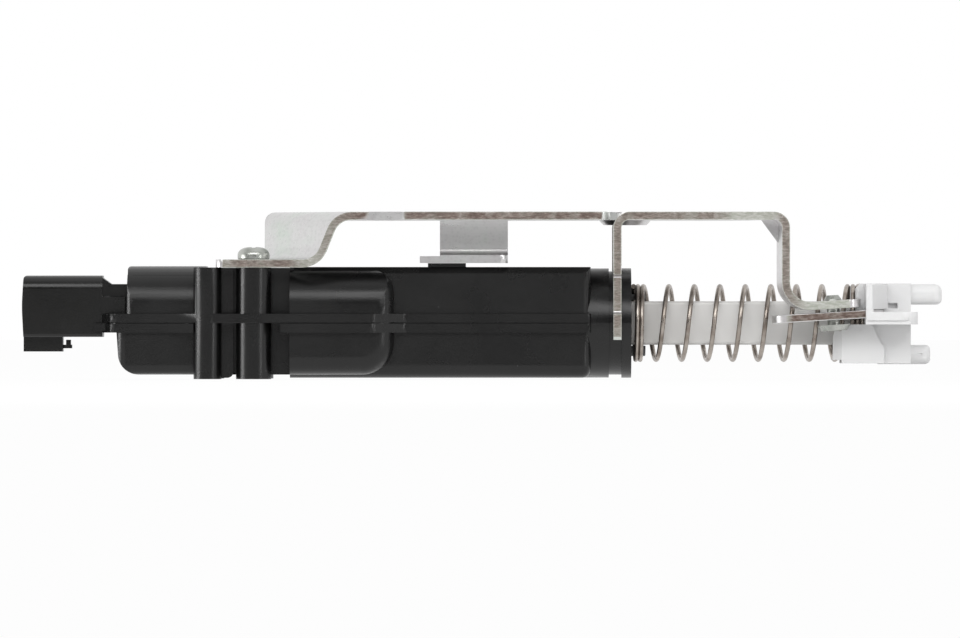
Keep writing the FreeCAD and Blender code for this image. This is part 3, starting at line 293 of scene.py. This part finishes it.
finishes = {
    "housing": moulded_black("housing_black", colour(8, 8, 8), colour(14, 14, 14), 0.27, 0.22, 0.45),
    "connector": moulded_black("connector_black", colour(10, 10, 9), colour(16, 16, 15), 0.25, 0.12, 0.45),
    "bush": moulded_black("bush_black", colour(26, 26, 26), colour(42, 42, 42), 0.45, 0.15, 0.3),
    "rubber": moulded_black("rubber_black", colour(24, 24, 24), colour(34, 34, 34), 0.75, 0.3),
    "zinc": zinc_plate("bracket_zinc", bracket_brown),
    "guide": zinc_plate("guide_zinc", guide_brown),
    "screw": metal("screw_zinc", colour(184, 186, 181), colour(140, 143, 137), 0.3, 0.08),
    "spring": metal("spring_wire", colour(176, 168, 160), colour(128, 118, 110), 0.3, 0.1),
    "bright": metal("bright_steel", colour(190, 190, 190), colour(165, 165, 168), 0.25, 0.05),
    "can": metal("can_steel", colour(185, 187, 188), colour(160, 163, 166), 0.3, 0.06),
    "core": metal("core_steel", colour(140, 140, 142), colour(105, 105, 108), 0.45, 0.2),
    "brass": metal("worm_brass", colour(222, 190, 120), colour(196, 160, 92), 0.28, 0.05),
    "bronze": metal("sintered_bronze", colour(186, 146, 96), colour(150, 112, 70), 0.5, 0.25),
    "copper": metal("winding_copper", colour(196, 118, 76), colour(160, 88, 54), 0.3, 0.1),
    "tin": metal("tinned_blade", colour(210, 206, 190), colour(186, 180, 160), 0.25, 0.05),
    "magnet": moulded_black("ferrite", colour(58, 58, 60), colour(74, 74, 76), 0.6, 0.3),
    "carbon": moulded_black("graphite", colour(48, 48, 48), colour(64, 64, 64), 0.55, 0.3),
    # The rod's grey darkens by painted shade from X 22 down to the nose's face at X 0.
    "rod": pale_plastic("rod_grey_painted_shade", colour(214, 213, 211), colour(186, 184, 181), 0.35, 0.0, 22.0),
    "fork": pale_plastic("fork_white", colour(217, 217, 217), colour(209, 209, 210), 0.42),
    "gear": pale_plastic("gear_natural", colour(226, 222, 206), colour(214, 208, 190), 0.35),
}

node_finish = {
    "upper_housing": "housing", "lower_housing": "housing", "connector_header": "connector",
    "terminal_blades": "tin", "motor_can": "can", "motor_end_cap": "bush", "motor_magnets": "magnet",
    "motor_bearings": "bronze", "rotor_core": "core", "rotor_windings": "copper", "commutator": "brass",
    "brushes": "carbon", "motor_shaft": "bright", "shaft_bearing": "bronze", "worm": "brass",
    "drive_gear": "gear", "gear_axle": "bright", "contact_strips": "tin", "thermal_cutout": "carbon",
    "plunger_rod": "rod", "end_fork": "fork", "fork_pin": "bright", "guide_plate": "guide",
    "guide_rivet": "screw", "return_spring": "spring", "nose_bush": "bush", "nose_seal": "rubber",
    "stop_bumper": "rubber", "bracket": "zinc", "bracket_screw": "screw", "housing_screws": "screw",
}


# Finishes go onto the solids. These pieces also get their edges broken, by a width in millimetres.
edge_breaks = {"end_fork": 0.3, "guide_rivet": 0.15, "nose_bush": 0.2}


def broken_edges(piece, width):
    bevel = piece.modifiers.new("edges", "BEVEL")
    bevel.width = width * mm
    bevel.segments = 2
    bevel.limit_method = "ANGLE"
    bevel.angle_limit = math.radians(40)
    return bevel


for node_name, node in frame["nodes"].items():
    for slot_of_node in node.material_slots:
        slot_of_node.material = finishes[node_finish[node_name]]
    if node_name in edge_breaks:
        weld = node.modifiers.new("joined", "WELD")
        weld.merge_threshold = solid_merge
        broken_edges(node, edge_breaks[node_name]).harden_normals = True


# Pieces made here

def finished(name, mesh, body, finish_name, replaced, smooth=35.0):
    bmesh.ops.remove_doubles(mesh, verts=mesh.verts, dist=piece_merge)
    bmesh.ops.recalc_face_normals(mesh, faces=mesh.faces)
    data = bpy.data.meshes.new(name)
    mesh.to_mesh(data)
    mesh.free()
    data.shade_smooth()
    data.set_sharp_from_angle(angle=math.radians(smooth))
    piece = bpy.data.objects.new(name, data)
    bpy.context.collection.objects.link(piece)
    data.materials.append(finishes[finish_name])
    if body:
        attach(piece, body)
    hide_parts(*replaced)
    return piece


def reworked(solid, name, finish_name, edge, change, body="base"):
    # A merged copy of a solid, with small forms changed, smooth rounds and flat faces, and its edges
    # broken by a width in millimetres.
    mesh = bmesh.new()
    mesh.from_mesh(frame["nodes"][solid].data)
    bmesh.ops.remove_doubles(mesh, verts=mesh.verts, dist=solid_merge)
    change(mesh)
    piece = finished(name, mesh, body, finish_name, (solid,), 40.0)
    broken_edges(piece, edge)
    weighted = piece.modifiers.new("weighted", "WEIGHTED_NORMAL")
    weighted.keep_sharp = True


def all_of(mesh):
    return list(mesh.verts) + list(mesh.edges) + list(mesh.faces)


def around(faces):
    # The faces with their edges and corners, each once and in a steady order.
    edges = dict.fromkeys(edge for face in faces for edge in face.edges)
    verts = dict.fromkeys(vert for face in faces for vert in face.verts)
    return list(verts) + list(edges) + list(faces)


# The seam between the housing's flanges, at the socket
seam_end = -131.6
flange_end = -132.3


def square_seam(mesh):
    # The seam between the flanges ends square at the socket.
    for vert in mesh.verts:
        at = vert.co - place(seam_end, 0, 0)
        if abs(at.x) < 0.02 * mm and abs(at.z) < 0.2 * mm:
            vert.co.x = place(flange_end, 0, 0).x


# The chamber at the housing's left end, whose upper near edge is rounded by wide_round here and by
# edge_round in the solid, and where the wider round gets its lines
chamber_near = -14.6
chamber_right = -106.5
chamber_top = 14.25
edge_round = 7.0
wide_round = 9.5
round_lines = (1.0, 2.6, 4.4, 5.8, 7.4, 9.0)


def drop(across, radius):
    # How far a rounded edge lies below the face that it leaves, at a distance from the other face.
    if across >= radius:
        return 0.0
    return radius - math.sqrt(radius * radius - (radius - max(across, 0.0)) ** 2)


def wider_round(mesh):
    # The chamber's upper near edge is rounded by more than the solid's.
    square_seam(mesh)
    right = place(chamber_right, 0, 0).x
    for line in round_lines:
        faces = [face for face in mesh.faces if face.calc_center_median().x < right]
        bmesh.ops.bisect_plane(mesh, geom=around(faces), dist=piece_merge,
                               plane_co=place(0, chamber_near + line, 0), plane_no=(0, 1, 0))
    for vert in mesh.verts:
        across = (vert.co.y - place(0, chamber_near, 0).y) / mm
        high = (vert.co.z - place(0, 0, chamber_top).z) / mm
        if vert.co.x > right + 0.01 * mm or not -0.01 < across < wide_round or high > 0.01:
            continue
        narrow = drop(across, edge_round)
        if abs(high + narrow) < 0.12:
            vert.co.z -= (drop(across, wide_round) - narrow) * mm


# The corners of the space round the bulge's lower corner, a point inside the motor's hollow, and how
# far the hollow's rim is drawn inwards there
corner_low = (-64.5, -18.0, -11.3)
corner_high = (-62.2, -15.2, -9.6)
in_hollow = (-68.0, -12.0, -6.0)
rim_sink = 0.8


def closed_corner(mesh):
    # The bulge's lower corner is closed over its hollow.
    square_seam(mesh)
    rim_edges = []
    for edge in mesh.edges:
        at = (edge.verts[0].co + edge.verts[1].co) / 2
        inside = all(a <= b <= c for a, b, c in zip(place(*corner_low), at, place(*corner_high)))
        if inside and edge.is_manifold and edge.calc_face_angle() > math.radians(110):
            rim_edges.append(edge)
    bmesh.ops.split_edges(mesh, edges=rim_edges)
    open_edges = [edge for edge in mesh.edges if edge.is_boundary]
    hollow = place(*in_hollow)
    inner = set()
    for edge in open_edges:
        if edge.link_faces[0].normal.dot(edge.verts[0].co - hollow) < 0:
            inner.update(edge.verts)
    bmesh.ops.holes_fill(mesh, edges=open_edges, sides=0)
    for vert in inner:
        vert.co += (hollow - vert.co).normalized() * rim_sink * mm


# The foot of the socket's block in the solid, and the flange that it stands on
block_foot = 2.4
flange_top = 2.31


def seated(mesh):
    # The socket's block stands on the flange.
    for vert in mesh.verts:
        if abs(vert.co.z - place(0, 0, block_foot).z) < 0.005 * mm:
            vert.co.z = place(0, 0, flange_top).z


# The bracket's sheet, its riser from the foot's end to the plate's, and the bends between
boss_top = 13.85
sheet = 2.0
bracket_near = -20.5
foot_end = -78.4
plate_end = -73.6
plate_top = 27.75
bend_outer = 6.6
bend_start = 3.777
bend_lines = (0.1, 0.35, 0.75)
bend_depth = 1.18
wing_end = -91.85


def bends(mesh):
    # Each flat leaves off where its bend begins. Its end wall stands on a line at forty-five degrees,
    # and is laid onto the round of the bend.
    for end, face, way in ((foot_end, boss_top, 1), (plate_end, plate_top, -1)):
        for line in bend_lines:
            bmesh.ops.bisect_plane(mesh, geom=all_of(mesh), dist=piece_merge,
                                   plane_co=place(0, 0, face + way * line), plane_no=(0, 0, 1))
        corner = place(end, bracket_near, face)
        for vert in mesh.verts:
            depth = way * (vert.co.z - corner.z) / mm
            beyond = way * (vert.co.x - corner.x + vert.co.y - corner.y) / mm
            if beyond > 0.02 or not -0.01 < depth < bend_depth or vert.co.x < place(wing_end, 0, 0).x:
                continue
            along = math.sin(math.acos(min(1.0, 1 - depth / bend_outer))) * bend_outer
            step = beyond - (along - bend_start)
            if step < 0.01:
                continue
            if abs(vert.co.y - corner.y) < 0.02 * mm:
                vert.co.x -= step * way * mm
            else:
                vert.co.y -= step * way * mm


# The guide plate's slanted end: where it leaves the near edge, and its run along Y and X
slant_start = 59.6
slant_across = 9.0
slant_along = 3.6


def slanted_end(mesh):
    # The guide plate's end stays inside the end piece's slanted lobe.
    cut = bmesh.ops.bisect_plane(mesh, geom=all_of(mesh), dist=piece_merge,
                                 plane_co=place(slant_start, bracket_near, 0),
                                 plane_no=(slant_across, -slant_along, 0), clear_outer=True)
    edges = [part for part in cut["geom_cut"] if isinstance(part, bmesh.types.BMEdge)]
    bmesh.ops.contextual_create(mesh, geom=edges)


reworked("upper_housing", "upper_housing_shell", "housing", 0.3, wider_round)
reworked("lower_housing", "lower_housing_shell", "housing", 0.3, closed_corner)
reworked("connector_header", "connector_header_socket", "connector", 0.25, seated)
reworked("bracket", "bracket_sheet", "zinc", 0.18, bends)
reworked("guide_plate", "guide_plate_slotted", "guide", 0.18, slanted_end, "plunger")


# Return spring: open turns between a left and a right run of closed ones
spring_outer = 9.8
wire_radius = 0.6
spring_left = 0.05
spring_right = 59.45
spring_pitch = 6.4
left_pitch = 1.1
left_turns = 1.95
right_pitch = 1.25
right_turns = 3.5
spring_phase = 0.75


def spring():
    # A ring of the wire's section is spun round the axis and along it, run by run.
    mesh = bmesh.new()
    mean = spring_outer - wire_radius
    start = spring_left + wire_radius
    room = spring_right - wire_radius - start
    open_turns = (room - left_pitch * left_turns - right_pitch * right_turns) / spring_pitch
    ring = bmesh.ops.create_circle(mesh, segments=14, radius=wire_radius * mm)["verts"]
    bmesh.ops.rotate(mesh, verts=ring, cent=(0, 0, 0), matrix=Matrix.Rotation(math.radians(90), 3, "Z"))
    bmesh.ops.translate(mesh, verts=ring, vec=(0, mean * mm, 0))
    # The circle lies in the XY plane at Y = mean, square to the wire's run, and is turned to its start.
    start_turn = Matrix.Rotation(-2 * math.pi * spring_phase, 3, "X")
    bmesh.ops.rotate(mesh, verts=ring, cent=(0, 0, 0), matrix=start_turn)
    bmesh.ops.translate(mesh, verts=ring, vec=place(start, 0, 0))
    edges = list(mesh.faces.new(ring).edges)
    for pitch, turns in ((left_pitch, left_turns), (spring_pitch, open_turns), (right_pitch, right_turns)):
        steps = max(8, round(turns * 40))
        result = bmesh.ops.spin(mesh, geom=edges, cent=place(0, 0, 0), axis=(1, 0, 0),
                                dvec=(pitch * turns / steps * mm, 0, 0),
                                angle=-2 * math.pi * turns, steps=steps, use_duplicate=False)
        edges = [part for part in result["geom_last"] if isinstance(part, bmesh.types.BMEdge)]
    bmesh.ops.contextual_create(mesh, geom=edges)
    return mesh


coil = finished("return_spring_coil", spring(), None, "spring", ("return_spring",), 60.0)
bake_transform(coil)


# Screws, with a domed head, a cross recess and a plain shank: the places of the bosses, and each
# kind of screw as (length, head radius, head height)
boss_bottom = -14.0
shell_seat = 2.4
near_boss_y = -16.4
far_boss_y = 18.6
front_boss_x = -94.4
rear_boss_x = -105.9
shank_radius = 1.5
bracket_screw = (11.5, 4.0, 3.1)
housing_screw = (12.0, 2.9, 2.0)


def screw_outline(length, radius, height):
    # From the shank's tip to the crown, as (radius, height over the seat): a low side, then a dome
    # in eight steps that ends in a small flat.
    side = 0.36 * height
    outline = [(0.0, -length), (shank_radius, -length), (shank_radius, 0.0)]
    outline += [(radius * 0.94, 0.0), (radius, 0.3), (radius, side)]
    for step in range(1, 9):
        angle = math.radians(90 * step / 8)
        reach = radius * (0.30 + 0.70 * math.cos(angle)) if step < 8 else radius * 0.30
        outline.append((reach, side + (height - side) * math.sin(angle)))
    outline.append((0.0, height))
    return outline


def cross_recess(mesh, centre, radius, height, way):
    # The crown is scored along the cross, and the cross is sunk with slanted sides.
    half = radius * 0.13
    arm = radius * 0.56

    def on_crown(face):
        at = face.calc_center_median() - centre
        return way * at.z > 0.36 * height * mm and math.hypot(at.x, at.y) < radius * mm

    crown = [face for face in mesh.faces if on_crown(face)]
    for offset in (-arm, -half, half, arm):
        for normal in ((1, 0, 0), (0, 1, 0)):
            point = centre + Vector(normal) * offset * mm
            cut = bmesh.ops.bisect_plane(mesh, geom=around(crown), dist=0.0001 * mm, plane_co=point,
                                         plane_no=normal)
            crown = [part for part in cut["geom"] if isinstance(part, bmesh.types.BMFace)]
    cross = []
    for face in crown:
        at = (face.calc_center_median() - centre) / mm
        inside = sorted((abs(at.x), abs(at.y)))
        if inside[0] < half and inside[1] < arm:
            cross.append(face)
    sunk = bmesh.ops.extrude_face_region(mesh, geom=cross)
    for vert in [part for part in sunk["geom"] if isinstance(part, bmesh.types.BMVert)]:
        vert.co.x = centre.x + (vert.co.x - centre.x) * 0.8
        vert.co.y = centre.y + (vert.co.y - centre.y) * 0.8
        vert.co.z = centre.z + way * height * 0.42 * mm
    bmesh.ops.delete(mesh, geom=[face for face in cross if face.is_valid], context="FACES_ONLY")


def screw(mesh, x, y, seat, sizes, way):
    # The outline is spun round the screw's axis. The head points up with a way of 1, and down with -1.
    length, radius, height = sizes
    verts = [mesh.verts.new(place(x + r, y, seat + way * h)) for r, h in screw_outline(*sizes)]
    edges = [mesh.edges.new(pair) for pair in zip(verts, verts[1:])]
    bmesh.ops.spin(mesh, geom=verts + edges, cent=place(x, y, 0), axis=(0, 0, 1), angle=2 * math.pi,
                   steps=48, use_merge=True)
    bmesh.ops.remove_doubles(mesh, verts=mesh.verts, dist=0.001 * mm)
    cross_recess(mesh, place(x, y, seat), radius, height, way)


head = bmesh.new()
screw(head, front_boss_x, near_boss_y, boss_top + sheet, bracket_screw, 1)
finished("bracket_screw_cross", head, "base", "screw", ("bracket_screw",))
heads = bmesh.new()
for x, y in ((rear_boss_x, near_boss_y), (rear_boss_x, far_boss_y), (front_boss_x, far_boss_y)):
    screw(heads, x, y, boss_bottom + shell_seat, housing_screw, -1)
finished("housing_screws_cross", heads, "base", "screw", ("housing_screws",))


# Camera: square to the object's near side and far away, with a view 240 mm wide
eye = 3200.0
view_width = 240.0
view_middle = (-37.875, -12.0, 1.0)
sensor = 36.0
camera_data = bpy.data.cameras.new("camera")
camera_data.sensor_width = sensor
camera_data.lens = sensor * eye / view_width
camera_data.clip_end = 20.0
camera = bpy.data.objects.new("camera", camera_data)
bpy.context.collection.objects.link(camera)
camera.location = place(view_middle[0], view_middle[1] - eye, view_middle[2])
camera.rotation_euler = (math.radians(90), 0, 0)
bpy.context.scene.camera = camera


# Floor, light and background, in metres

# How white the floor is shown, and how much of that a reflection keeps far in front of the object
floor_white = 0.96
floor_dim = 0.2
floor_dim_y = -0.5
floor_bright_y = -0.08

# The world's light on surfaces, and how bright reflections show the dark behind the camera
world_light = 0.68
world_dim = 0.1


def floor():
    mesh = bmesh.new()
    bmesh.ops.create_grid(mesh, x_segments=1, y_segments=1, size=6.0)
    bmesh.ops.translate(mesh, verts=mesh.verts, vec=(0, 0, cad_box[0][2] - 0.2 * mm))
    data = bpy.data.meshes.new("floor")
    mesh.to_mesh(data)
    mesh.free()
    material, tree, surface, coords = new_material("floor_white")
    vector = coords.outputs["Object"]
    tone = mix(tree, noise(tree, vector, 8.0), (0.80, 0.80, 0.80, 1), (0.82, 0.82, 0.82, 1))
    tree.links.new(tone, surface.inputs["Base Color"])
    surface.inputs["Roughness"].default_value = 0.9
    surface.inputs["Specular IOR Level"].default_value = 0.0
    glow = add(tree, "ShaderNodeEmission", {"Color": (1, 1, 1, 1), "Strength": 1.0})
    path = add(tree, "ShaderNodeLightPath")
    # A reflection shows the floor white near the object and dim far in front of it.
    at = add(tree, "ShaderNodeSeparateXYZ", {"Vector": vector})
    near = spread(tree, at.outputs[1], floor_dim_y, floor_bright_y, floor_dim, 1.0)
    mirrored = work(tree, "MULTIPLY", path.outputs["Is Glossy Ray"], near)
    shown = work(tree, "MAXIMUM", path.outputs["Is Camera Ray"], path.outputs["Is Transmission Ray"])
    seen = work(tree, "MULTIPLY", work(tree, "MAXIMUM", shown, mirrored), floor_white)
    both = add(tree, "ShaderNodeMixShader", {0: seen, 1: surface.outputs[0], 2: glow.outputs[0]})
    output = next(shader for shader in tree.nodes if shader.type == "OUTPUT_MATERIAL")
    tree.links.new(both.outputs[0], output.inputs[0])
    data.materials.append(material)
    plane = bpy.data.objects.new("floor", data)
    bpy.context.collection.objects.link(plane)


def lamp(name, offset, width, height, power):
    # An area lamp at an offset from the object's middle, facing it.
    data = bpy.data.lights.new(name, "AREA")
    data.shape = "RECTANGLE"
    data.size = width
    data.size_y = height
    data.energy = power
    made = bpy.data.objects.new(name, data)
    bpy.context.collection.objects.link(made)
    middle = place(-37.0, 0, 0)
    made.location = middle + Vector(offset)
    made.rotation_euler = (middle - made.location).to_track_quat("-Z", "Y").to_euler()


def world():
    # White behind the object and at its sides, and dim behind the camera, where a studio is dark.
    made = bpy.data.worlds.new("studio")
    bpy.context.scene.world = made
    made.use_nodes = True
    tree = made.node_tree
    tree.nodes.clear()
    path = add(tree, "ShaderNodeLightPath")
    coords = add(tree, "ShaderNodeTexCoord")
    way = add(tree, "ShaderNodeSeparateXYZ", {"Vector": coords.outputs["Generated"]})
    mirrored = spread(tree, way.outputs[1], -0.85, -0.2, world_dim, 1.0)
    spare = add(tree, "ShaderNodeMix", {0: path.outputs["Is Glossy Ray"], 2: world_light, 3: mirrored},
                data_type="FLOAT")
    shown = work(tree, "MAXIMUM", path.outputs["Is Camera Ray"], path.outputs["Is Transmission Ray"])
    strength = work(tree, "MAXIMUM", shown, spare.outputs[0])
    shine = add(tree, "ShaderNodeBackground", {"Color": (1, 1, 1, 1), "Strength": strength})
    output = add(tree, "ShaderNodeOutputWorld")
    tree.links.new(shine.outputs[0], output.inputs[0])


floor()
world()
lamp("top", (0.0, -0.80, 0.50), 1.5, 0.36, 6.0)
lamp("left", (-1.15, -0.2, 0.02), 0.6, 0.06, 2.0)
lamp("right", (0.8, -0.75, 0.15), 0.1, 0.3, 0.9)

bpy.context.scene.view_settings.view_transform = "Standard"
